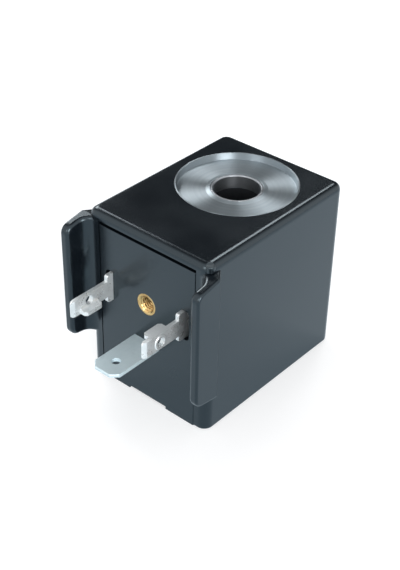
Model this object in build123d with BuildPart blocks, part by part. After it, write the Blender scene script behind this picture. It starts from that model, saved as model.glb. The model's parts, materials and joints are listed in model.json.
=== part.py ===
from build123d import *
import os
from math import sqrt

os.makedirs("parts", exist_ok=True)

# A solenoid valve coil, in millimetres. The origin is on the axis of the bore for the
# valve's armature tube, on the bottom face. X runs along the connector face, which looks
# towards -Y, and Z is up along the bore.

# Moulded block
body_width = 30.0
body_depth = 40.0
body_height = 37.8
bore_to_front = 25.6
corner_radius = 2.0
top_edge_radius = 1.5
bottom_edge_radius = 0.5

# Guard wings that flank the connector, and the ears that carry them
wing_thickness = 2.0
wing_reach = 5.1
wing_top_slope = 1.1
ear_below_top = 1.65
wing_tip_bottom = 10.3
ear_bottom = 9.1
wing_corner_radius = 1.9
wing_edge_radius = 0.5
wing_inner_radius = 0.8
wing_root_radius = 2.2
ear_flat = 0.6
ear_fade = 2.6

# Small moulded mark of the gate, near the right front corner of the top
gate_radius = 0.85
gate_below_top = 0.25
gate_side_inset = 0.75
gate_front_inset = 1.2
gate_edge_radius = 0.3

# Terminal carrier that closes the front of the block
carrier_width = 23.9
carrier_top = 35.35
carrier_thickness = 3.0
carrier_side_gap = 0.05
carrier_top_gap = 0.7
carrier_edge_chamfer = 0.2
drain_width = 9.6
drain_height = 0.6

# Steel circuit
plate_radius = 12.05
plate_thickness = 2.0
dish_depth = 1.3
dish_wall_taper = 0.2
rim_width = 0.25
rim_proud = 0.05
collar_radius = 6.05
collar_height = 0.24
collar_flat = 0.08
plate_chamfer = 0.15
shell_wall = 1.1
shell_bottom = 1.2
roof_thickness = 1.5
shell_slit = 0.6
lead_window_width = 11.0
lead_window_height = 6.0
bore_radius = 4.6
bush_wall = 0.5
bush_proud = 0.28
bush_mouth = 0.2
bush_edge_chamfer = 0.08
bush_flange_radius = 6.2
bush_flange_thickness = 0.5

# Bobbin and winding
bobbin_wall = 1.1
flange_thickness = 1.5
flange_gap = 0.2
winding_radius = 10.9
tape_thickness = 0.3
tape_bottom_inset = 0.6
tape_top_inset = 2.2

# Line terminals, half of the connector's contact spacing from the middle
contact_spacing = 18.0
contact_height = 22.8
sheet_thickness = 0.8
blade_width = 3.5
blade_reach = 10.8
blade_nose_bevel = 0.3
blade_nose_run = 0.9
blade_nose_radius = 0.5
shoulder_width = 6.1
shoulder_reach = 1.5
shoulder_radius = 0.45
flap_start = 4.1
flap_end = 8.6
flap_width = 1.5
flap_corner = 0.5
flap_bend_radius = 0.7
hole_from_face = 6.3
hole_radius = 0.95
hole_ring_radius = 1.55
hole_ring_height = 0.15
hole_ring_taper = 45
tail_width = 3.0
tail_reach = 3.2
pocket_width = 1.9
pocket_height = 6.5
pocket_depth = 2.0
pocket_radius = 0.8

# Earth terminal
earth_width = 6.3
earth_below_contacts = 8.5
earth_reach = 12.0
earth_tip_chamfer = 1.3
earth_edge_bevel = 0.15
earth_hole_radius = 0.9
earth_hole_from_tip = 3.7
earth_leg_width = 5.0
earth_leg_height = 7.0
rivet_radius = 1.0
rivet_head_radius = 1.7
rivet_head_height = 0.45
rivet_head_taper = 20
rivet_above_tab = 3.6

# Threaded insert for the connector's screw
insert_radius = 2.25
insert_length = 7.5
insert_core_radius = 1.25
insert_mouth_radius = 1.75
insert_groove_depth = 0.3
insert_groove_width = 0.8
insert_groove_starts = (2.6, 5.2)

# Winding leads
lead_radius = 0.3
sleeve_wall = 0.3
sleeve_from_share = 0.22
sleeve_to_share = 0.78
lead_exit_x = 3.0
lead_below_flange = 0.9
lead_joint_length = 1.6
solder_thickness = 0.35
lead_bend_radius = 1.2

fit_gap = 0.05

# Values worked out from the sizes above
half_width = body_width / 2
front_y = -bore_to_front
back_y = front_y + body_depth
wing_outer_x = half_width + wing_thickness
wing_front_y = front_y - wing_reach
ear_end_y = front_y + ear_flat + ear_fade
ear_top = body_height - ear_below_top
wing_tip_top = ear_top - wing_top_slope
rim_top = body_height + rim_proud
dish_floor = rim_top - dish_depth
top_plate_bottom = dish_floor - plate_thickness
bottom_plate_top = plate_thickness
shell_inner_radius = plate_radius + fit_gap
shell_radius = shell_inner_radius + shell_wall
rivet_seat_y = -sqrt(shell_inner_radius**2 - rivet_head_radius**2)
shell_top = body_height - roof_thickness
bobbin_tube_radius = bore_radius + bobbin_wall
flange_radius = shell_inner_radius - flange_gap
window_bottom = bottom_plate_top + flange_thickness + fit_gap
window_top = top_plate_bottom - flange_thickness - fit_gap
contact_x = contact_spacing / 2
earth_top = contact_height - earth_below_contacts
carrier_back_y = front_y + carrier_thickness
bush_outer_radius = bore_radius + bush_wall
plate_hole_radius = bush_outer_radius + fit_gap
sleeve_radius = lead_radius + sleeve_wall
lead_z = window_top - lead_below_flange
tail_end_y = carrier_back_y + tail_reach
shell_face_y = -shell_radius
earth_leg_y = shell_face_y - sheet_thickness
rivet_z = earth_top + rivet_above_tab


def label_and_write(piece, name):
    piece.label = name
    export_step(piece, f"parts/{name}.step")


# Bottom and top pole plates. The top one is turned with a shallow dish, whose floor rises
# to a low collar round the bush.
with BuildPart() as bottom_pole_plate:
    with BuildSketch(Plane.XY):
        Circle(plate_radius)
        Circle(plate_hole_radius, mode=Mode.SUBTRACT)
    extrude(amount=plate_thickness)
    chamfer(bottom_pole_plate.edges().filter_by(GeomType.CIRCLE), plate_chamfer)

with BuildPart() as top_pole_plate:
    with BuildSketch(Plane.XZ):
        with BuildLine():
            Polyline(
                (plate_hole_radius, top_plate_bottom),
                (plate_radius, top_plate_bottom),
                (plate_radius, rim_top),
                (plate_radius - rim_width, rim_top),
                (plate_radius - rim_width - dish_wall_taper, dish_floor),
                (collar_radius, dish_floor),
                (plate_hole_radius + collar_flat, dish_floor + collar_height),
                (plate_hole_radius, dish_floor + collar_height),
                close=True,
            )
        make_face()
    revolve(axis=Axis.Z)


# Flanged steel bushes that carry the flux from the plates into the armature tube
def bush(end_z, shoulder_z):
    """The open end lies at end_z; the flange beyond shoulder_z bears on the pole plate."""
    inward = 1 if shoulder_z > end_z else -1
    flange_z = shoulder_z + inward * bush_flange_thickness
    with BuildPart() as made:
        with BuildSketch(Plane.XZ):
            with BuildLine():
                Polyline(
                    (bore_radius, end_z),
                    (bush_outer_radius, end_z),
                    (bush_outer_radius, shoulder_z),
                    (bush_flange_radius, shoulder_z),
                    (bush_flange_radius, flange_z),
                    (bore_radius, flange_z),
                    close=True,
                )
            make_face()
        revolve(axis=Axis.Z)
    return made


lower_bush = bush(0.0, plate_thickness)
with BuildPart() as upper_bush:
    add(bush(dish_floor + bush_proud, top_plate_bottom).part)
    mouth = upper_bush.edges().group_by(Axis.Z)[-1].sort_by(SortBy.RADIUS)
    chamfer(mouth[0], bush_mouth)
    chamfer(mouth[-1], bush_edge_chamfer)

# Bobbin: a tube with two flanges, recessed at both ends for the bushes
with BuildPart() as bobbin:
    with BuildSketch(Plane.XY.offset(bottom_plate_top)):
        Circle(bobbin_tube_radius)
    extrude(amount=top_plate_bottom - bottom_plate_top)
    for flange_z in (bottom_plate_top, top_plate_bottom - flange_thickness):
        with BuildSketch(Plane.XY.offset(flange_z)):
            Circle(flange_radius)
        extrude(amount=flange_thickness)
    for recess_z, way in ((bottom_plate_top, 1), (top_plate_bottom, -1)):
        with BuildSketch(Plane.XY.offset(recess_z)):
            Circle(bush_flange_radius + fit_gap)
        extrude(amount=way * bush_flange_thickness, mode=Mode.SUBTRACT)
    with BuildSketch(Plane.XY.offset(bottom_plate_top)):
        Circle(bore_radius)
    extrude(amount=top_plate_bottom - bottom_plate_top, mode=Mode.SUBTRACT)

with BuildPart() as winding:
    with BuildSketch(Plane.XY.offset(window_bottom)):
        Circle(winding_radius)
        Circle(bobbin_tube_radius + fit_gap, mode=Mode.SUBTRACT)
    extrude(amount=window_top - window_bottom)

with BuildPart() as winding_tape:
    with BuildSketch(Plane.XY.offset(window_bottom + tape_bottom_inset)):
        Circle(winding_radius + tape_thickness)
        Circle(winding_radius, mode=Mode.SUBTRACT)
    extrude(amount=window_top - tape_top_inset - window_bottom - tape_bottom_inset)

# Rolled steel shell round the winding, with its seam at the back, a window at the front
# for the leads and a hole for the earth rivet
with BuildPart() as yoke_shell:
    with BuildSketch(Plane.XY.offset(shell_bottom)):
        Circle(shell_radius)
        Circle(shell_inner_radius, mode=Mode.SUBTRACT)
        with Locations((0, shell_radius)):
            Rectangle(shell_slit, 4 * shell_wall, mode=Mode.SUBTRACT)
    extrude(amount=shell_top - shell_bottom)
    with BuildSketch(Plane.XY.offset(shell_top - lead_window_height)):
        with Locations((0, -shell_radius)):
            Rectangle(lead_window_width, shell_radius)
    extrude(amount=lead_window_height, mode=Mode.SUBTRACT)
    with BuildSketch(Plane.XZ.offset(-earth_leg_y)):
        with Locations((0, rivet_z)):
            Circle(rivet_radius)
    extrude(amount=-2 * sheet_thickness - 2 * shell_wall, mode=Mode.SUBTRACT)


# Line terminals: a blade with a T-shaped shoulder, a flap bent over along one edge for
# stiffness, a formed hole and a soldering tail. The right one is the left one turned by
# half a turn about the insert's axis.
with BuildPart() as right_terminal:
    with BuildSketch(Plane.YZ.offset(contact_x - sheet_thickness / 2)) as blade_outline:
        with Locations(((front_y - blade_reach + tail_end_y) / 2, contact_height)):
            Rectangle(tail_end_y - front_y + blade_reach, blade_width)
        fillet(blade_outline.vertices().group_by(Axis.X)[0], blade_nose_radius)
        with Locations((front_y - shoulder_reach / 2 + pocket_depth / 2, contact_height)):
            RectangleRounded(shoulder_reach + pocket_depth, shoulder_width, shoulder_radius)
        for way in (-1, 1):
            with Locations((tail_end_y, contact_height + way * blade_width / 2)):
                Rectangle(2 * tail_reach, blade_width - tail_width, mode=Mode.SUBTRACT)
    extrude(amount=sheet_thickness)
    # the flap, bent towards the middle along the upper edge
    flap_bottom = contact_height + blade_width / 2 - sheet_thickness
    with BuildSketch(Plane.XY.offset(flap_bottom)):
        with BuildLine():
            Polyline(
                (contact_x + sheet_thickness / 2, front_y - flap_start),
                (contact_x - sheet_thickness / 2 - flap_width + flap_corner, front_y - flap_start),
                (contact_x - sheet_thickness / 2 - flap_width, front_y - flap_start - flap_corner),
                (contact_x - sheet_thickness / 2 - flap_width, front_y - flap_end + flap_corner),
                (contact_x - sheet_thickness / 2 - flap_width + flap_corner, front_y - flap_end),
                (contact_x + sheet_thickness / 2, front_y - flap_end),
                close=True,
            )
        make_face()
    extrude(amount=sheet_thickness)
    bend = (
        right_terminal.edges()
        .filter_by(Axis.Y)
        .filter_by(lambda e: abs(e.length - (flap_end - flap_start)) < fit_gap)
        .group_by(Axis.Z)[-1]
        .sort_by(Axis.X)[-1]
    )
    fillet(bend, flap_bend_radius)
    # the formed hole: a raised ring on the outer face, then the hole through it
    with BuildSketch(Plane.YZ.offset(contact_x + sheet_thickness / 2)):
        with Locations((front_y - hole_from_face, contact_height - sheet_thickness / 4)):
            Circle(hole_ring_radius)
    extrude(amount=hole_ring_height, taper=hole_ring_taper)
    with BuildSketch(Plane.YZ.offset(contact_x - sheet_thickness)):
        with Locations((front_y - hole_from_face, contact_height - sheet_thickness / 4)):
            Circle(hole_radius)
    extrude(amount=2 * sheet_thickness, mode=Mode.SUBTRACT)
    # both faces slope in towards the nose
    nose_y = front_y - blade_reach
    with BuildSketch(Plane.XY.offset(contact_height - blade_width)):
        for way in (-1, 1):
            face_x = contact_x + way * sheet_thickness / 2
            with BuildLine():
                Polyline(
                    (face_x, nose_y),
                    (face_x, nose_y + blade_nose_run),
                    (face_x - way * blade_nose_bevel, nose_y),
                    close=True,
                )
            make_face()
    extrude(amount=2 * blade_width, mode=Mode.SUBTRACT)

# Half a turn about the insert's axis
with BuildPart() as left_terminal:
    add(right_terminal.part.rotate(Axis((0, 0, contact_height), (0, 1, 0)), 180))

# Earth terminal: the tab, with a leg bent up against the shell and riveted to it
with BuildPart() as earth_terminal:
    with BuildSketch(Plane.XY.offset(earth_top)):
        with Locations((0, (front_y - earth_reach + earth_leg_y + sheet_thickness) / 2)):
            Rectangle(earth_width, earth_leg_y + sheet_thickness - front_y + earth_reach)
    extrude(amount=-sheet_thickness)
    tip_corners = earth_terminal.edges().filter_by(Axis.Z).group_by(Axis.Y)[0]
    chamfer(tip_corners, earth_tip_chamfer)
    tip_end = front_y - earth_reach
    rim = earth_terminal.edges().filter_by_position(Axis.Y, tip_end, tip_end + earth_reach / 2)
    chamfer(rim.filter_by(Plane.XY), earth_edge_bevel)
    with BuildSketch(Plane.XZ.offset(-earth_leg_y)):
        with Locations((0, earth_top + earth_leg_height / 2)):
            Rectangle(earth_leg_width, earth_leg_height)
    extrude(amount=-sheet_thickness)
    with BuildSketch(Plane.XY.offset(earth_top)):
        with Locations((0, front_y - earth_reach + earth_hole_from_tip)):
            Circle(earth_hole_radius)
    extrude(amount=-sheet_thickness, mode=Mode.SUBTRACT)
    with BuildSketch(Plane.XZ.offset(-earth_leg_y)):
        with Locations((0, rivet_z)):
            Circle(rivet_radius)
    extrude(amount=-sheet_thickness, mode=Mode.SUBTRACT)

# The rivet's shank runs through the leg and the shell, with a head at each end
with BuildPart() as earth_rivet:
    shank_length = rivet_seat_y - earth_leg_y
    with BuildSketch(Plane.XZ.offset(-earth_leg_y)):
        with Locations((0, rivet_z)):
            Circle(rivet_radius)
    extrude(amount=-shank_length)
    with BuildSketch(Plane.XZ.offset(-earth_leg_y)):
        with Locations((0, rivet_z)):
            Circle(rivet_head_radius)
    extrude(amount=rivet_head_height, taper=rivet_head_taper)
    with BuildSketch(Plane.XZ.offset(-earth_leg_y - shank_length)):
        with Locations((0, rivet_z)):
            Circle(rivet_head_radius)
    extrude(amount=-rivet_head_height, taper=rivet_head_taper)

# Brass insert for the connector's screw, with two grooves that hold it in the plastic
with BuildPart() as threaded_insert:
    with BuildSketch(Plane.XZ.offset(-front_y)):
        with Locations((0, contact_height)):
            Circle(insert_radius)
    extrude(amount=-insert_length)
    for groove_start in insert_groove_starts:
        with BuildSketch(Plane.XZ.offset(-front_y - groove_start)):
            with Locations((0, contact_height)):
                Circle(insert_radius + fit_gap)
                Circle(insert_radius - insert_groove_depth, mode=Mode.SUBTRACT)
        extrude(amount=-insert_groove_width, mode=Mode.SUBTRACT)
    with BuildSketch(Plane.XZ.offset(-front_y)):
        with Locations((0, contact_height)):
            Circle(insert_core_radius)
    extrude(amount=-insert_length, mode=Mode.SUBTRACT)
    mouth = (
        threaded_insert.edges()
        .filter_by(GeomType.CIRCLE)
        .filter_by(lambda e: abs(e.radius - insert_core_radius) < fit_gap)
        .sort_by(Axis.Y)[0]
    )
    chamfer(mouth, insert_mouth_radius - insert_core_radius)


# The room inside the insert, which the moulding leaves open for the screw
with BuildPart() as screw_room:
    with BuildSketch(Plane.XZ.offset(-front_y)):
        with Locations((0, contact_height)):
            Circle(insert_radius - insert_groove_depth)
    extrude(amount=-insert_length)

# Leads: each leaves the winding through the shell's window, runs forward and out to the
# side, and ends on its terminal's tail, in an insulating sleeve for most of the way.
tail_side_x = contact_x - sheet_thickness / 2
lead_start_y = -sqrt(winding_radius**2 - (lead_exit_x - lead_radius) ** 2)
joint_y = (carrier_back_y + tail_end_y) / 2
joint_z = contact_height + tail_width / 2 - lead_radius
solder_half = lead_radius + solder_thickness
lead_run_x = tail_side_x - solder_half


def lead_points(side):
    """Corners of one lead's path, from the winding to the tail."""
    return [
        (side * lead_exit_x, lead_start_y, lead_z),
        (side * lead_exit_x, joint_y, lead_z),
        (side * lead_run_x, joint_y, lead_z),
        (side * lead_run_x, joint_y, joint_z - lead_joint_length / 2),
    ]


def lead_path(side):
    return FilletPolyline(*lead_points(side), radius=lead_bend_radius)


def round_wire(side, radius, from_share, to_share):
    """A round wire along a share of one lead's path."""
    with BuildPart() as made:
        with BuildLine() as path:
            lead_path(side)
        wire = path.wire()
        run = wire.trim(from_share, to_share)
        with BuildSketch(Plane(run @ 0, z_dir=run % 0)):
            Circle(radius)
        sweep(path=run)
    return made


start_lead = round_wire(-1, lead_radius, 0, 1)
finish_lead = round_wire(1, lead_radius, 0, 1)


def lead_sleeve(side):
    with BuildPart() as made:
        add(round_wire(side, sleeve_radius, sleeve_from_share, sleeve_to_share).part)
        add(round_wire(side, lead_radius, 0, 1).part, mode=Mode.SUBTRACT)
    return made


start_lead_sleeve = lead_sleeve(-1)
finish_lead_sleeve = lead_sleeve(1)


# Solder joints on the tails, one node of two solids
def solder_joint(side):
    with BuildPart() as made:
        with BuildSketch(Plane.XY.offset(joint_z - lead_joint_length / 2)):
            with Locations((side * lead_run_x, joint_y)):
                RectangleRounded(2 * solder_half, 3 * solder_half, solder_thickness)
        extrude(amount=lead_joint_length)
        add(round_wire(side, lead_radius, 0, 1).part, mode=Mode.SUBTRACT)
    return made


with BuildPart() as solder_joints:
    add(solder_joint(-1).part)
    add(solder_joint(1).part)


def embedded():
    """Every piece whose shape the moulding takes as it flows round it."""
    return [
        screw_room.part,
        right_terminal.part,
        left_terminal.part,
        earth_terminal.part,
        earth_rivet.part,
        threaded_insert.part,
        start_lead.part,
        finish_lead.part,
        start_lead_sleeve.part,
        finish_lead_sleeve.part,
        solder_joints.part,
    ]


# Terminal carrier: the plate in the front of the block that holds the metal parts. Each
# line terminal stands at the inner side of a deeper pocket.
with BuildPart() as terminal_carrier:
    with BuildSketch(Plane.XZ.offset(-front_y)):
        with Locations((0, carrier_top / 2)):
            Rectangle(carrier_width, carrier_top)
        with Locations((0, drain_height / 2)):
            Rectangle(drain_width, drain_height, mode=Mode.SUBTRACT)
    extrude(amount=-carrier_thickness)
    front_edges = terminal_carrier.faces().sort_by(Axis.Y)[0].edges().filter_by(Axis.Z).group_by(Axis.X)
    chamfer(front_edges[0] + front_edges[-1], carrier_edge_chamfer)
    pocket_x = contact_x - sheet_thickness / 2 + pocket_width / 2
    with BuildSketch(Plane.XZ.offset(-front_y)):
        with Locations((-pocket_x, contact_height), (pocket_x, contact_height)):
            RectangleRounded(pocket_width, pocket_height, pocket_radius)
        for side in (-1, 1):
            with Locations((side * contact_x, contact_height)):
                Rectangle(sheet_thickness, pocket_height)
    extrude(amount=-pocket_depth, mode=Mode.SUBTRACT)
    for piece in embedded():
        add(piece, mode=Mode.SUBTRACT)


# Wings and ears as one bar of constant section, trimmed to their side outline
def wing_section(side):
    """Outline of one wing seen from above, with the blend into the connector face."""
    blend_x = half_width - wing_root_radius
    blend_mid = wing_root_radius * (1 - sqrt(0.5))
    with BuildLine() as outline:
        Polyline(
            (side * half_width, front_y - wing_root_radius),
            (side * half_width, wing_front_y),
            (side * wing_outer_x, wing_front_y),
            (side * wing_outer_x, front_y + ear_flat),
            (side * half_width, ear_end_y),
            (side * blend_x, ear_end_y),
            (side * blend_x, front_y),
        )
        ThreePointArc(
            (side * blend_x, front_y),
            (side * (half_width - blend_mid), front_y - blend_mid),
            (side * half_width, front_y - wing_root_radius),
        )
    return outline


with BuildPart() as wings:
    with BuildSketch(Plane.XY.offset(ear_bottom)):
        for side in (-1, 1):
            add(wing_section(side).line)
            make_face()
    extrude(amount=ear_top - ear_bottom)
    with BuildSketch(Plane.YZ) as side_outline:
        with BuildLine():
            Polyline(
                (wing_front_y, wing_tip_bottom),
                (wing_front_y, wing_tip_top),
                (front_y + ear_flat, ear_top),
                (ear_end_y, ear_top),
                (ear_end_y, ear_bottom),
                close=True,
            )
        make_face()
        tip = side_outline.vertices().group_by(Axis.X)[0]
        fillet(tip, wing_corner_radius)
    extrude(amount=wing_outer_x + wing_thickness, both=True, mode=Mode.INTERSECT)
    outer_edges = wings.edges().group_by(Axis.X)[0] + wings.edges().group_by(Axis.X)[-1]
    fade_edges = wings.edges().group_by(Axis.Z)[-1].filter_by(
        lambda e: half_width + fit_gap < abs(e.center().X) < wing_outer_x - fit_gap
        and front_y + ear_flat < e.center().Y < ear_end_y - fit_gap
    )
    fillet(outer_edges.filter_by(lambda e: e.center().Y < front_y) + fade_edges, wing_edge_radius)
    inner_edges = (
        wings.edges()
        .filter_by(lambda e: abs(abs(e.center().X) - half_width) < fit_gap)
        .filter_by(lambda e: e.center().Y < front_y - wing_root_radius - fit_gap)
    )
    fillet(inner_edges, wing_inner_radius)

with BuildPart() as gate_mark:
    with BuildSketch(Plane.XY.offset(body_height - top_edge_radius)):
        with Locations((half_width - gate_side_inset, front_y + gate_front_inset)):
            Circle(gate_radius)
    extrude(amount=top_edge_radius - gate_below_top)
    fillet(gate_mark.edges().group_by(Axis.Z)[-1], gate_edge_radius)

# The moulded block, open at both ends for the steel circuit and in front for the carrier
with BuildPart() as housing:
    with BuildSketch(Plane.XY):
        with Locations((0, (front_y + back_y) / 2)):
            RectangleRounded(body_width, body_depth, corner_radius)
    extrude(amount=body_height)
    fillet(housing.faces().sort_by(Axis.Z)[-1].edges(), top_edge_radius)
    fillet(housing.faces().sort_by(Axis.Z)[0].edges(), bottom_edge_radius)
    add(wings.part)
    add(gate_mark.part)
    # room for the plates through the roof and the floor, and for the shell between them
    with BuildSketch(Plane.XY):
        Circle(shell_inner_radius)
    extrude(amount=body_height, mode=Mode.SUBTRACT)
    with BuildSketch(Plane.XY.offset(shell_bottom)):
        Circle(shell_radius)
    extrude(amount=shell_top - shell_bottom, mode=Mode.SUBTRACT)
    with BuildSketch(Plane.XZ.offset(-front_y)):
        with Locations((0, (carrier_top + carrier_top_gap) / 2)):
            Rectangle(carrier_width + 2 * carrier_side_gap, carrier_top + carrier_top_gap)
    extrude(amount=-carrier_thickness, mode=Mode.SUBTRACT)
    for piece in embedded():
        add(piece, mode=Mode.SUBTRACT)

pieces = {
    "housing": housing,
    "terminal_carrier": terminal_carrier,
    "top_pole_plate": top_pole_plate,
    "bottom_pole_plate": bottom_pole_plate,
    "upper_bush": upper_bush,
    "lower_bush": lower_bush,
    "yoke_shell": yoke_shell,
    "bobbin": bobbin,
    "winding": winding,
    "winding_tape": winding_tape,
    "line_terminal_left": left_terminal,
    "line_terminal_right": right_terminal,
    "earth_terminal": earth_terminal,
    "earth_rivet": earth_rivet,
    "threaded_insert": threaded_insert,
    "start_lead": start_lead,
    "finish_lead": finish_lead,
    "start_lead_sleeve": start_lead_sleeve,
    "finish_lead_sleeve": finish_lead_sleeve,
    "solder_joints": solder_joints,
}
for name, piece in pieces.items():
    label_and_write(piece.part, name)
    print(name, [round(s.volume, 3) for s in piece.part.solids()])
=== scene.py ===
import json
from math import atan, cos, pi, radians, sin

import bmesh
import bpy
from mathutils import Matrix, Vector


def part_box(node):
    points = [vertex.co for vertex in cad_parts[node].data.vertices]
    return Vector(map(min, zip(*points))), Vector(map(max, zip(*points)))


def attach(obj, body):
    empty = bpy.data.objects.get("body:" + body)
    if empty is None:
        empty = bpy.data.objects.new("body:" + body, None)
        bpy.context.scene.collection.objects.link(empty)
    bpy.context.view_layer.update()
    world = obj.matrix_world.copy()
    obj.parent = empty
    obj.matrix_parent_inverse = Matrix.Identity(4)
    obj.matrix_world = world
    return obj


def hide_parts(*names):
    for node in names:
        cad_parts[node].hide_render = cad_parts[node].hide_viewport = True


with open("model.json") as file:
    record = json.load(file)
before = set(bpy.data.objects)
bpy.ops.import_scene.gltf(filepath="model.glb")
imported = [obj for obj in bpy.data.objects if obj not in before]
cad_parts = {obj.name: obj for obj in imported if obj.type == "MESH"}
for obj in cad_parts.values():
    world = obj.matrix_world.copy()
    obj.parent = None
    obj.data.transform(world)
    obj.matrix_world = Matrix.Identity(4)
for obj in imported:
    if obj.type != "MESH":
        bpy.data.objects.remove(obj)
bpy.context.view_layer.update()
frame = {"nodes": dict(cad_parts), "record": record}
scene = bpy.context.scene
scene.view_settings.view_transform = "Standard"
mm = 0.001
print("frame loaded:", len(frame["nodes"]), "nodes")

cameraView = {
    "aim": (0, -25.6 * mm, 0),  # bottom of the connector face
    "azimuth": 40.35,
    "elevation": 35.31,
    "roll": 1.21,
    "distance": 227.02 * mm,
    "right": -10.33 * mm,  # where the aim lies from the middle of the frame
    "up": -22.22 * mm,
    "focalPixels": 1153.97,
    "frameHeight": 570,
    "clip": (0.01, 20),
}


def addCamera(view):
    az, el, roll = (radians(view[k]) for k in ("azimuth", "elevation", "roll"))
    forward = Vector((-sin(az) * cos(el), cos(az) * cos(el), -sin(el)))
    level = Vector((cos(az), sin(az), 0))
    rise = level.cross(forward)
    right = cos(roll) * level + sin(roll) * rise
    up = -sin(roll) * level + cos(roll) * rise
    spot = Vector(view["aim"]) - right * view["right"] - up * view["up"] - forward * view["distance"]
    lens = bpy.data.cameras.new("photoLens")
    lens.sensor_fit = "VERTICAL"
    lens.angle = 2 * atan(view["frameHeight"] / 2 / view["focalPixels"])
    lens.clip_start, lens.clip_end = view["clip"]
    camera = bpy.data.objects.new("photoCamera", lens)
    scene.collection.objects.link(camera)
    camera.matrix_world = Matrix.Translation(spot) @ Matrix((right, up, -forward)).transposed().to_4x4()
    scene.camera = camera


# Settings are the node's own attributes, values its sockets; in_3 means the fourth socket.
def addNode(tree, kind, settings=None, **values):
    node = tree.nodes.new(kind)
    for name, value in (settings or {}).items():
        setattr(node, name, value)
    for name, value in values.items():
        key = int(name[3:]) if name.startswith("in_") else name.replace("_", " ")
        if isinstance(value, bpy.types.NodeSocket):
            tree.links.new(value, node.inputs[key])
        else:
            node.inputs[key].default_value = value
    return node


def calc(tree, operation, a, b=0.0, clamp=False):
    settings = {"operation": operation, "use_clamp": clamp}
    return addNode(tree, "ShaderNodeMath", settings, in_0=a, in_1=b).outputs[0]


def spread(tree, value, low, high, toLow=0.0, toHigh=1.0):
    node = addNode(tree, "ShaderNodeMapRange", {"interpolation_type": "SMOOTHSTEP"},
                   in_0=value, in_1=low, in_2=high, in_3=toLow, in_4=toHigh)
    return node.outputs[0]


def mixColour(tree, share, a, b):
    return addNode(tree, "ShaderNodeMix", {"data_type": "RGBA"}, in_0=share, in_6=a, in_7=b).outputs[2]


def noise(tree, place, scale, detail=2.0, rough=0.5):
    node = addNode(tree, "ShaderNodeTexNoise", Vector=place, Scale=scale, Detail=detail, Roughness=rough)
    return node.outputs[0]


def lineNoise(tree, value, detail, rough=0.5):
    node = addNode(tree, "ShaderNodeTexNoise", {"noise_dimensions": "1D"},
                   W=value, Scale=1.0, Detail=detail, Roughness=rough)
    return node.outputs[0]


def scaled(tree, place, factors):
    node = addNode(tree, "ShaderNodeVectorMath", {"operation": "MULTIPLY"}, in_0=place, in_1=factors)
    return node.outputs[0]


def vectorLength(tree, place):
    return addNode(tree, "ShaderNodeVectorMath", {"operation": "LENGTH"}, in_0=place).outputs["Value"]


def newGroup(name, inputs, outputs):
    tree = bpy.data.node_groups.new(name, "ShaderNodeTree")
    for label, kind, default in inputs:
        socket = tree.interface.new_socket(label, in_out="INPUT", socket_type="NodeSocket" + kind)
        if default is not None:
            socket.default_value = default
    for label in outputs:
        tree.interface.new_socket(label, in_out="OUTPUT", socket_type="NodeSocketFloat")
    return tree, tree.nodes.new("NodeGroupInput").outputs, tree.nodes.new("NodeGroupOutput").inputs


mouldTexture = {
    "detail": 3.0,
    "rough": 0.6,
    "pitScale": 0.7,  # pits to fine grain
    "pitSmoothness": 0.4,
    "pitShare": 0.3,
    "flowScale": 90.0,
    "dustScale": 1500.0,
    "dustRange": (0.73, 0.84),
}


# Fine eroded texture of a moulded face, slow flow marks in its tone, and pale dust specks
def makeMouldGrain(look):
    tree, given, out = newGroup(
        "mouldGrain",
        [("Position", "Vector", None), ("Grain Size", "Float", 0.4 * mm), ("Flow", "Float", 0.5)],
        ["Height", "Tone", "Speck"],
    )
    place = given["Position"]
    scale = calc(tree, "DIVIDE", 1.0, given["Grain Size"])
    fine = noise(tree, place, scale, look["detail"], look["rough"])
    pit = addNode(tree, "ShaderNodeTexVoronoi", {"feature": "SMOOTH_F1"}, Vector=place,
                  Scale=calc(tree, "MULTIPLY", scale, look["pitScale"]), Smoothness=look["pitSmoothness"])
    fineShare = calc(tree, "MULTIPLY", fine, 1 - look["pitShare"])
    pitShare = calc(tree, "MULTIPLY", pit.outputs[0], look["pitShare"])
    tree.links.new(calc(tree, "ADD", fineShare, pitShare), out["Height"])
    slow = noise(tree, place, look["flowScale"])
    tone = calc(tree, "MULTIPLY", calc(tree, "SUBTRACT", slow, 0.5), given["Flow"])
    tree.links.new(calc(tree, "ADD", tone, 0.5, True), out["Tone"])
    dust = noise(tree, place, look["dustScale"], 1.0)
    tree.links.new(spread(tree, dust, *look["dustRange"]), out["Speck"])
    return tree


ringTexture = {
    "detail": 3.0,
    "rough": 0.7,
    "breakScale": 500.0,
    "breakShare": 0.4,
    "streakWidth": 0.12,  # a tool mark's pitch to a streak's width
}


# Concentric tool marks about Z, as waves of the radius broken up by noise
def makeTurnedRings(look):
    tree, given, out = newGroup(
        "turnedRings",
        [("Position", "Vector", None), ("Pitch", "Float", 0.1 * mm), ("Waver", "Float", 0.5)],
        ["Height", "Streak"],
    )
    radius = vectorLength(tree, scaled(tree, given["Position"], (1, 1, 0)))
    turns = calc(tree, "DIVIDE", radius, given["Pitch"])
    fine = lineNoise(tree, turns, look["detail"], look["rough"])
    waver = calc(tree, "MULTIPLY", given["Waver"], look["breakShare"])
    broken = calc(tree, "MULTIPLY", noise(tree, given["Position"], look["breakScale"]), waver)
    tree.links.new(calc(tree, "ADD", fine, broken), out["Height"])
    wide = lineNoise(tree, calc(tree, "MULTIPLY", turns, look["streakWidth"]), 2.0)
    tree.links.new(wide, out["Streak"])
    return tree


stripTexture = {
    "streakScale": 900.0,
    "streakDetail": 3.0,
    "streakRough": 0.65,
    "cloudDetail": 3.0,
    "stainScale": 420.0,
    "stainDetail": 4.0,
    "stainRough": 0.7,
    "stainRange": (0.56, 0.70),
}


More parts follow.
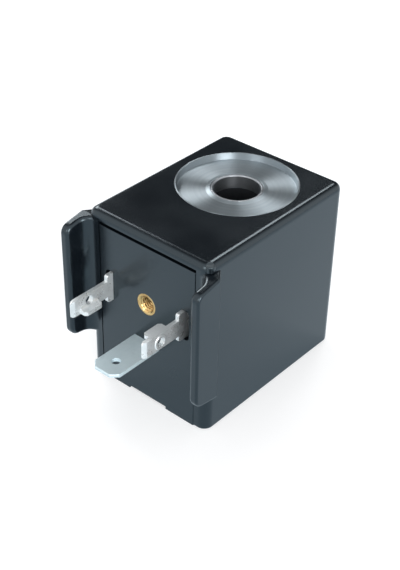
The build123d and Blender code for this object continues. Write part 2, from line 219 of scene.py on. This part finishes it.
# Streaks along one axis of a rolled and plated strip, slow clouds in the plating, and stains
def makeRolledGrain(look):
    tree, given, out = newGroup(
        "rolledGrain",
        [("Position", "Vector", None), ("Stretch", "Vector", (1, 12, 12)), ("Cloud Size", "Float", 2 * mm)],
        ["Height", "Cloud", "Stain"],
    )
    place = given["Position"]
    drawn = scaled(tree, place, given["Stretch"])
    streaks = noise(tree, drawn, look["streakScale"], look["streakDetail"], look["streakRough"])
    tree.links.new(streaks, out["Height"])
    cloudScale = calc(tree, "DIVIDE", 1.0, given["Cloud Size"])
    tree.links.new(noise(tree, place, cloudScale, look["cloudDetail"]), out["Cloud"])
    stains = noise(tree, place, look["stainScale"], look["stainDetail"], look["stainRough"])
    tree.links.new(spread(tree, stains, *look["stainRange"]), out["Stain"])
    return tree


mouldGrain = makeMouldGrain(mouldTexture)
turnedRings = makeTurnedRings(ringTexture)
rolledGrain = makeRolledGrain(stripTexture)
print("shader groups made")


def startMaterial(name):
    material = bpy.data.materials.new(name)
    material.use_nodes = True
    tree = material.node_tree
    tree.nodes.clear()
    shader = tree.nodes.new("ShaderNodeBsdfPrincipled")
    output = tree.nodes.new("ShaderNodeOutputMaterial")
    tree.links.new(shader.outputs[0], output.inputs[0])
    place = tree.nodes.new("ShaderNodeTexCoord").outputs["Object"]
    return material, tree, shader, place


def useGroup(tree, group, **values):
    return addNode(tree, "ShaderNodeGroup", {"node_tree": group}, **values).outputs


noiseRange = (0.3, 0.7)  # most of a noise's values lie in it
bevelSamples = 6


# Texture of the surface, and broken edges of the given radius, which catch the light
def bump(tree, shader, height, depth, edge=0.0):
    node = addNode(tree, "ShaderNodeBump", Strength=1.0, Distance=depth, Height=height)
    if edge:
        bevel = addNode(tree, "ShaderNodeBevel", {"samples": bevelSamples}, Radius=edge)
        tree.links.new(bevel.outputs[0], node.inputs["Normal"])
    tree.links.new(node.outputs[0], shader.inputs["Normal"])


plastics = {
    "black_moulding": {
        "dark": (0.0026, 0.0040, 0.0062, 1), "light": (0.0044, 0.0066, 0.0092, 1),
        "speck": (0.016, 0.020, 0.023, 1), "rough": (0.20, 0.26),
        "grain": 0.35 * mm, "depth": 0.006 * mm, "edge": 0.0,
    },
    "carrier_moulding": {
        "dark": (0.0026, 0.0040, 0.0062, 1), "light": (0.0044, 0.0066, 0.0092, 1),
        "speck": (0.016, 0.020, 0.023, 1), "rough": (0.22, 0.28),
        "grain": 0.3 * mm, "depth": 0.006 * mm, "edge": 0.15 * mm,
    },
    "bobbin_plastic": {
        "dark": (0.008, 0.008, 0.009, 1), "light": (0.014, 0.014, 0.015, 1),
        "speck": (0.03, 0.03, 0.03, 1), "rough": (0.42, 0.55),
        "grain": 0.4 * mm, "depth": 0.01 * mm, "edge": 0.1 * mm,
    },
}
plasticSurface = {"flow": 1.2, "toneRange": (0.2, 0.8), "ior": 1.55, "specularTint": (0.72, 0.90, 1.0, 1)}
gateMark = {
    "centre": (14.25 * mm, -24.4 * mm, 37.55 * mm),
    "radius": 0.9 * mm,
    "fullShare": 0.7,  # of the radius
    "tornScale": 3000.0,
    "tornRange": (0.3, 0.6),
    "tornShares": (0.6, 1.0),
    "colour": (0.030, 0.036, 0.040, 1),
    "rough": 0.6,
}


# The torn spot where the gate was broken off is paler and matt
def addGateMark(tree, place, colour, rough, look):
    away = addNode(tree, "ShaderNodeVectorMath", {"operation": "DISTANCE"}, in_0=place, in_1=look["centre"])
    near = spread(tree, away.outputs["Value"], look["radius"], look["radius"] * look["fullShare"])
    torn = spread(tree, noise(tree, place, look["tornScale"]), *look["tornRange"], *look["tornShares"])
    near = calc(tree, "MULTIPLY", near, torn)
    rough = addNode(tree, "ShaderNodeMix", {"data_type": "FLOAT"}, in_0=near, in_2=rough, in_3=look["rough"])
    return mixColour(tree, near, colour, look["colour"]), rough.outputs[0]


def mouldedPlastic(name, look):
    material, tree, shader, place = startMaterial(name)
    grain = useGroup(tree, mouldGrain, Position=place, Grain_Size=look["grain"], Flow=plasticSurface["flow"])
    colour = mixColour(tree, grain["Tone"], look["dark"], look["light"])
    colour = mixColour(tree, grain["Speck"], colour, look["speck"])
    rough = spread(tree, grain["Tone"], *plasticSurface["toneRange"], *look["rough"])
    if name == "black_moulding":
        colour, rough = addGateMark(tree, place, colour, rough, gateMark)
    tree.links.new(colour, shader.inputs["Base Color"])
    tree.links.new(rough, shader.inputs["Roughness"])
    shader.inputs["IOR"].default_value = plasticSurface["ior"]
    shader.inputs["Specular Tint"].default_value = plasticSurface["specularTint"]
    bump(tree, shader, grain["Height"], look["depth"], look["edge"])
    return material


turnedSteels = {
    "turned_steel": {
        "dark": (0.25, 0.29, 0.315, 1), "light": (0.33, 0.375, 0.405, 1), "rough": (0.42, 0.38),
        "pitch": 0.12 * mm, "anisotropic": 0.9, "depth": 0.001 * mm, "edge": 0.1 * mm,
    },
    "bush_steel": {
        "dark": (0.26, 0.28, 0.30, 1), "light": (0.38, 0.40, 0.42, 1), "rough": (0.38, 0.28),
        "pitch": 0.1 * mm, "anisotropic": 0.5, "depth": 0.004 * mm, "edge": 0.1 * mm,
    },
}
acrossRings = 0.25  # turn of the tangent, so that highlights run across the rings
ringWaver = 0.5


def turnedSteel(name, look):
    material, tree, shader, place = startMaterial(name)
    rings = useGroup(tree, turnedRings, Position=place, Pitch=look["pitch"], Waver=ringWaver)
    tree.links.new(mixColour(tree, rings["Streak"], look["dark"], look["light"]), shader.inputs["Base Color"])
    tree.links.new(spread(tree, rings["Streak"], *noiseRange, *look["rough"]), shader.inputs["Roughness"])
    shader.inputs["Metallic"].default_value = 1.0
    shader.inputs["Anisotropic"].default_value = look["anisotropic"]
    shader.inputs["Anisotropic Rotation"].default_value = acrossRings
    tangent = addNode(tree, "ShaderNodeTangent", {"direction_type": "RADIAL", "axis": "Z"})
    tree.links.new(tangent.outputs[0], shader.inputs["Tangent"])
    bump(tree, shader, rings["Height"], look["depth"], look["edge"])
    return material


strips = {
    "tinned_brass": {
        "dark": (0.62, 0.66, 0.67, 1), "light": (0.88, 0.90, 0.90, 1), "stain": (0.40, 0.42, 0.43, 1),
        "rough": (0.42, 0.24), "stretch": (6, 1, 6), "depth": 0.006 * mm, "metallic": 0.55, "edge": 0.12 * mm,
    },
    "earth_tin": {
        "dark": (0.58, 0.70, 0.74, 1), "light": (0.68, 0.80, 0.84, 1), "stain": (0.46, 0.55, 0.58, 1),
        "rough": (0.52, 0.40), "stretch": (6, 1, 6), "depth": 0.004 * mm, "metallic": 0.35, "edge": 0.12 * mm,
    },
    "yoke_steel": {
        "dark": (0.20, 0.20, 0.21, 1), "light": (0.34, 0.34, 0.35, 1), "stain": (0.10, 0.09, 0.08, 1),
        "rough": (0.55, 0.40), "stretch": (1, 1, 8), "depth": 0.008 * mm, "metallic": 1.0, "edge": 0.1 * mm,
    },
    "rivet_steel": {
        "dark": (0.50, 0.50, 0.51, 1), "light": (0.66, 0.66, 0.67, 1), "stain": (0.3, 0.3, 0.3, 1),
        "rough": (0.40, 0.25), "stretch": (2, 2, 2), "depth": 0.004 * mm, "metallic": 1.0, "edge": 0.1 * mm,
    },
    "brass": {
        "dark": (0.30, 0.15, 0.04, 1), "light": (0.82, 0.60, 0.28, 1), "stain": (0.18, 0.08, 0.02, 1),
        "rough": (0.32, 0.16), "stretch": (2, 14, 2), "depth": 0.002 * mm, "metallic": 1.0, "edge": 0.0,
    },
    "solder": {
        "dark": (0.55, 0.55, 0.55, 1), "light": (0.72, 0.72, 0.71, 1), "stain": (0.4, 0.4, 0.38, 1),
        "rough": (0.38, 0.18), "stretch": (1, 1, 1), "depth": 0.02 * mm, "metallic": 1.0, "edge": 0.15 * mm,
    },
}
stripSurface = {"cloudSize": 1.5 * mm, "stainShare": 0.35}


def metalStrip(name, look):
    material, tree, shader, place = startMaterial(name)
    grain = useGroup(tree, rolledGrain, Position=place, Stretch=look["stretch"],
                     Cloud_Size=stripSurface["cloudSize"])
    colour = mixColour(tree, grain["Cloud"], look["dark"], look["light"])
    stained = calc(tree, "MULTIPLY", grain["Stain"], stripSurface["stainShare"])
    tree.links.new(mixColour(tree, stained, colour, look["stain"]), shader.inputs["Base Color"])
    tree.links.new(spread(tree, grain["Cloud"], *noiseRange, *look["rough"]), shader.inputs["Roughness"])
    shader.inputs["Metallic"].default_value = look["metallic"]
    bump(tree, shader, grain["Height"], look["depth"], look["edge"])
    return material


windings = {
    "enamelled_copper": {
        "dark": (0.30, 0.08, 0.02, 1), "light": (0.62, 0.24, 0.08, 1), "rough": (0.18, 0.3),
        "lay": 3.0 * mm, "depth": 0.004 * mm, "metallic": 0.6,
    },
    "tape": {
        "dark": (0.52, 0.36, 0.05, 1), "light": (0.70, 0.52, 0.12, 1), "rough": (0.25, 0.4),
        "lay": 6.0 * mm, "depth": 0.08 * mm, "metallic": 0.0,
    },
    "sleeving": {
        "dark": (0.55, 0.50, 0.36, 1), "light": (0.74, 0.70, 0.56, 1), "rough": (0.5, 0.7),
        "lay": 0.25 * mm, "depth": 0.07 * mm, "metallic": 0.0,
    },
}
woundSurface = {"cloudScale": 700.0, "cloudLift": 0.4}


# The laps or braid of a wound thing, shown by a wave along Z
def woundMaterial(name, look):
    material, tree, shader, place = startMaterial(name)
    split = addNode(tree, "ShaderNodeSeparateXYZ", Vector=place).outputs
    crest = calc(tree, "ABSOLUTE", calc(tree, "SINE", calc(tree, "MULTIPLY", split["Z"], pi / look["lay"])))
    cloud = noise(tree, place, woundSurface["cloudScale"])
    share = calc(tree, "MULTIPLY", crest, calc(tree, "ADD", cloud, woundSurface["cloudLift"]), True)
    tree.links.new(mixColour(tree, share, look["dark"], look["light"]), shader.inputs["Base Color"])
    tree.links.new(spread(tree, cloud, *noiseRange, *look["rough"]), shader.inputs["Roughness"])
    shader.inputs["Metallic"].default_value = look["metallic"]
    bump(tree, shader, crest, look["depth"])
    return material


materials = {}
for makeMaterial, looks in (
    (mouldedPlastic, plastics), (turnedSteel, turnedSteels), (metalStrip, strips), (woundMaterial, windings),
):
    for name, look in looks.items():
        materials[name] = makeMaterial(name, look)
print("materials made:", len(materials))

slotOfNode = {s["node"]: s["material_slot"] for s in frame["record"]["subparts"]}
for node, piece in frame["nodes"].items():
    piece.data.materials.clear()
    piece.data.materials.append(materials[slotOfNode[node]])
print("frame nodes dressed")


# Faces between each row of vertices and the next, and from the last row to the first
def skinRows(bm, rows):
    faces = []
    for a, b in zip(rows, rows[1:] + rows[:1]):
        for k in range(len(a)):
            n = (k + 1) % len(a)
            faces.append(bm.faces.new((a[k], a[n], b[n], b[k])))
    bmesh.ops.recalc_face_normals(bm, faces=faces)


def addPiece(bm, name, slot, node):
    mesh = bpy.data.meshes.new(name)
    bm.to_mesh(mesh)
    bm.free()
    piece = bpy.data.objects.new(name, mesh)
    scene.collection.objects.link(piece)
    mesh.materials.clear()
    mesh.materials.append(materials[slot])
    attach(piece, "root")
    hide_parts(node)


threadedInsert = {
    "outerRadius": 2.24 * mm,
    "knurlDepth": 0.12 * mm,
    "knurlTeeth": 32,
    "plainRim": 0.5 * mm,  # length of the smooth band at each end
    "grooves": ((2.6 * mm, 3.4 * mm), (5.2 * mm, 6.0 * mm)),  # from the front
    "grooveDepth": 0.3 * mm,
    "coreRadius": 1.3 * mm,
    "threadRadius": 1.56 * mm,
    "flankSlope": 1.6,  # steepness of the thread's flanks
    "crestShare": 0.25,  # cut off the flanks, which leaves a flat crest and root
    "mouthRadius": 1.86 * mm,
    "mouthDepth": 0.4 * mm,
    "pitch": 0.5 * mm,
    "around": 96,
    "alongPitch": 8,
}


# One closed skin: down the knurled outside, and back up the thread inside
def addThreadedInsert(look):
    low, high = (Vector(c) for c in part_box("threaded_insert"))
    axisX, axisZ = (low.x + high.x) / 2, (low.z + high.z) / 2
    front, length = low.y, high.y - low.y
    count = round(length / (look["pitch"] / look["alongPitch"]))
    around = look["around"]

    def outside(depth, turn):
        if any(start <= depth <= end for start, end in look["grooves"]):
            return look["outerRadius"] - look["grooveDepth"]
        if depth < look["plainRim"] or depth > length - look["plainRim"]:
            return look["outerRadius"]
        return look["outerRadius"] - look["knurlDepth"] * (0.5 - 0.5 * cos(2 * pi * turn * look["knurlTeeth"]))

    def inside(depth, turn):
        share = (depth / look["pitch"] - turn) % 1.0
        flank = min(1.0, max(0.0, look["flankSlope"] * abs(2 * share - 1) - look["crestShare"]))
        radius = look["coreRadius"] + (look["threadRadius"] - look["coreRadius"]) * flank
        flare = look["mouthRadius"] - look["coreRadius"]
        return max(radius, look["mouthRadius"] - flare * depth / look["mouthDepth"])

    bm = bmesh.new()
    rows = []
    depths = [length * i / count for i in range(count + 1)]
    for side, along in ((outside, depths), (inside, depths[::-1])):
        for depth in along:
            row = []
            for k in range(around):
                turn = k / around
                r = side(depth, turn)
                angle = 2 * pi * turn
                row.append(bm.verts.new((axisX + r * cos(angle), front + depth, axisZ + r * sin(angle))))
            rows.append(row)
    skinRows(bm, rows)
    addPiece(bm, "screwInsert", "brass", "threaded_insert")


addThreadedInsert(threadedInsert)
print("threaded insert made")


wireTurns = {
    "wireDiameter": 0.56 * mm,
    "around": 56,  # segments in one turn
    "wireSides": 6,
    "coreInset": 0.7,  # share of the wire's diameter by which the core lies inside the turns
    "coreSides": 72,
}


# A helix of wire, lifted to the bottom of the winding
def makeTurnsTree():
    tree = bpy.data.node_groups.new("wireTurnsTree", "GeometryNodeTree")
    floats = [(label, "Float") for label in ("Turns", "Radius", "Height", "Wire", "Bottom")]
    for label, kind in floats + [("Around", "Int"), ("Sides", "Int"), ("Material", "Material")]:
        tree.interface.new_socket(label, in_out="INPUT", socket_type="NodeSocket" + kind)
    tree.interface.new_socket("Geometry", in_out="OUTPUT", socket_type="NodeSocketGeometry")
    given = tree.nodes.new("NodeGroupInput").outputs
    half = calc(tree, "MULTIPLY", given["Wire"], 0.5)
    middle = calc(tree, "SUBTRACT", given["Radius"], half)
    rise = calc(tree, "SUBTRACT", given["Height"], given["Wire"])
    helix = addNode(tree, "GeometryNodeCurveSpiral", Resolution=given["Around"], Rotations=given["Turns"],
                    Start_Radius=middle, End_Radius=middle, Height=rise)
    ring = addNode(tree, "GeometryNodeCurvePrimitiveCircle", Resolution=given["Sides"], Radius=half)
    wire = addNode(tree, "GeometryNodeCurveToMesh", Curve=helix.outputs[0], Profile_Curve=ring.outputs[0],
                   Fill_Caps=True)
    lift = addNode(tree, "ShaderNodeCombineXYZ", Z=calc(tree, "ADD", given["Bottom"], half))
    placed = addNode(tree, "GeometryNodeTransform", Geometry=wire.outputs[0], Translation=lift.outputs[0])
    whole = addNode(tree, "GeometryNodeRealizeInstances", Geometry=placed.outputs[0])
    dressed = addNode(tree, "GeometryNodeSetMaterial", Geometry=whole.outputs[0], Material=given["Material"])
    out = tree.nodes.new("NodeGroupOutput")
    tree.links.new(dressed.outputs[0], out.inputs[0])
    return tree


def setInput(tree, modifier, label, value):
    for item in tree.interface.items_tree:
        if item.item_type == "SOCKET" and item.in_out == "INPUT" and item.name == label:
            modifier[item.identifier] = value


def makeTurnsMesh(look, low, high):
    height, wire = high.z - low.z, look["wireDiameter"]
    tree = makeTurnsTree()
    holder = bpy.data.objects.new("turnsHolder", bpy.data.meshes.new("turnsHolder"))
    scene.collection.objects.link(holder)
    modifier = holder.modifiers.new("turns", "NODES")
    modifier.node_group = tree
    values = {
        "Turns": (height - wire) / wire, "Radius": (high.x - low.x) / 2, "Height": height, "Wire": wire,
        "Bottom": low.z, "Around": look["around"], "Sides": look["wireSides"],
        "Material": materials["enamelled_copper"],
    }
    for label, value in values.items():
        setInput(tree, modifier, label, value)
    evaluated = holder.evaluated_get(bpy.context.evaluated_depsgraph_get())
    mesh = bpy.data.meshes.new_from_object(evaluated)
    bpy.data.objects.remove(holder)
    return mesh


# The outer layer of wire over a plain core, which stands for the layers under it
def addWinding(look):
    low, high = (Vector(c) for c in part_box("winding"))
    solid = frame["nodes"]["winding"].data
    inner = min((v.co.x ** 2 + v.co.y ** 2) ** 0.5 for v in solid.vertices)
    outer = (high.x - low.x) / 2 - look["wireDiameter"] * look["coreInset"]
    bm = bmesh.new()
    bm.from_mesh(makeTurnsMesh(look, low, high))
    angles = [2 * pi * k / look["coreSides"] for k in range(look["coreSides"])]
    rows = []
    for r, z in ((inner, low.z), (outer, low.z), (outer, high.z), (inner, high.z)):
        rows.append([bm.verts.new((r * cos(angle), r * sin(angle), z)) for angle in angles])
    skinRows(bm, rows)
    addPiece(bm, "copperWinding", "enamelled_copper", "winding")


addWinding(wireTurns)
print("winding made")


studio = {
    "floorSize": 4.0,
    "floorColour": (0.62, 0.62, 0.62, 1),
    # The camera glow is weaker near the object than far off: painted shade on the floor around the object,
    # which deepens its shadow
    "cameraLift": (0.46, 0.72),  # what the floor adds to its own colour for the camera, near and far
    "liftFades": (0.03, 0.16),  # distances from the origin between which that grows
    "glossLift": 0.42,  # what it adds in reflections
    "glossTint": (0.70, 1.0, 1.20, 1),
    "ambient": 0.6,
    "ambientColour": (0.95, 0.97, 1.0, 1),
    "roomLight": 1.45,  # what reflections see of the walls, apart from a dark card
    "cardWay": (-0.528, 0.622, 0.578),
    "cardEdge": (0.40, 0.86),  # cosines of the angles between which the card fades
    "cardLight": 0.010,
    "lampDistance": 0.8,
    "lampAim": (0, 0, 20 * mm),
}
lamps = {
    "left": {"way": (-0.77, 0.30, 0.58), "size": 0.30, "power": 2.3},
    "front": {"way": (0.05, -0.85, 0.53), "size": 0.30, "power": 1.2},
    "top": {"way": (-0.524, 0.4226, 0.738), "size": 0.12, "power": 0.03},
    "backRight": {"way": (-0.2445, 0.634, 0.734), "size": 0.20, "power": 1.0},
    "right": {"way": (0.85, -0.45, 0.45), "size": 0.35, "power": 3.9},
}
white = (1, 1, 1, 1)


def rayKinds(tree):
    rays = tree.nodes.new("ShaderNodeLightPath").outputs
    return rays["Is Camera Ray"], calc(tree, "ADD", rays["Is Glossy Ray"], rays["Is Transmission Ray"], True)


def addFloor():
    half = studio["floorSize"] / 2
    corners = [(-half, -half, 0), (half, -half, 0), (half, half, 0), (-half, half, 0)]
    mesh = bpy.data.meshes.new("studioFloor")
    mesh.from_pydata(corners, [], [(0, 1, 2, 3)])
    floor = bpy.data.objects.new("studioFloor", mesh)
    scene.collection.objects.link(floor)
    material = bpy.data.materials.new("paleFloor")
    material.use_nodes = True
    tree = material.node_tree
    tree.nodes.clear()
    matte = addNode(tree, "ShaderNodeBsdfDiffuse", Color=studio["floorColour"])
    seen, shiny = rayKinds(tree)
    away = vectorLength(tree, tree.nodes.new("ShaderNodeTexCoord").outputs["Object"])
    # Less glow near the object paints shade on the floor there; further out the glow keeps the floor evenly
    # white
    cameraLift = spread(tree, away, *studio["liftFades"], *studio["cameraLift"])
    strength = calc(tree, "ADD", calc(tree, "MULTIPLY", seen, cameraLift),
                    calc(tree, "MULTIPLY", shiny, studio["glossLift"]))
    tint = mixColour(tree, shiny, white, studio["glossTint"])
    lift = addNode(tree, "ShaderNodeEmission", Color=tint, Strength=strength)
    both = addNode(tree, "ShaderNodeAddShader", in_0=matte.outputs[0], in_1=lift.outputs[0])
    addNode(tree, "ShaderNodeOutputMaterial", in_0=both.outputs[0])
    mesh.materials.append(material)


# White to the camera, a pale room with a dark card in reflections, and plain light elsewhere
def addWorld():
    world = bpy.data.worlds.new("studioWorld")
    scene.world = world
    world.use_nodes = True
    tree = world.node_tree
    tree.nodes.clear()
    seen, shiny = rayKinds(tree)
    way = tree.nodes.new("ShaderNodeTexCoord").outputs["Generated"]
    facing = addNode(tree, "ShaderNodeVectorMath", {"operation": "DOT_PRODUCT"},
                     in_0=way, in_1=studio["cardWay"]).outputs["Value"]
    room = spread(tree, facing, *studio["cardEdge"], studio["roomLight"], studio["cardLight"])
    ambient = addNode(tree, "ShaderNodeBackground", Color=studio["ambientColour"], Strength=studio["ambient"])
    walls = addNode(tree, "ShaderNodeBackground", Color=white, Strength=room)
    backdrop = addNode(tree, "ShaderNodeBackground", Color=white, Strength=1.0)
    unseen = addNode(tree, "ShaderNodeMixShader", in_0=shiny, in_1=ambient.outputs[0], in_2=walls.outputs[0])
    whole = addNode(tree, "ShaderNodeMixShader", in_0=seen, in_1=unseen.outputs[0], in_2=backdrop.outputs[0])
    addNode(tree, "ShaderNodeOutputWorld", in_0=whole.outputs[0])


def addLamps():
    aim = Vector(studio["lampAim"])
    for name, look in lamps.items():
        lamp = bpy.data.lights.new(name + "Lamp", "AREA")
        lamp.shape = "SQUARE"
        lamp.size = look["size"]
        lamp.energy = look["power"]
        holder = bpy.data.objects.new(name + "Lamp", lamp)
        scene.collection.objects.link(holder)
        spot = Vector(look["way"]).normalized() * studio["lampDistance"]
        turn = (aim - spot).to_track_quat("-Z", "Y")
        holder.matrix_world = Matrix.Translation(spot) @ turn.to_matrix().to_4x4()


addCamera(cameraView)
addFloor()
addWorld()
addLamps()
print("camera and studio set")
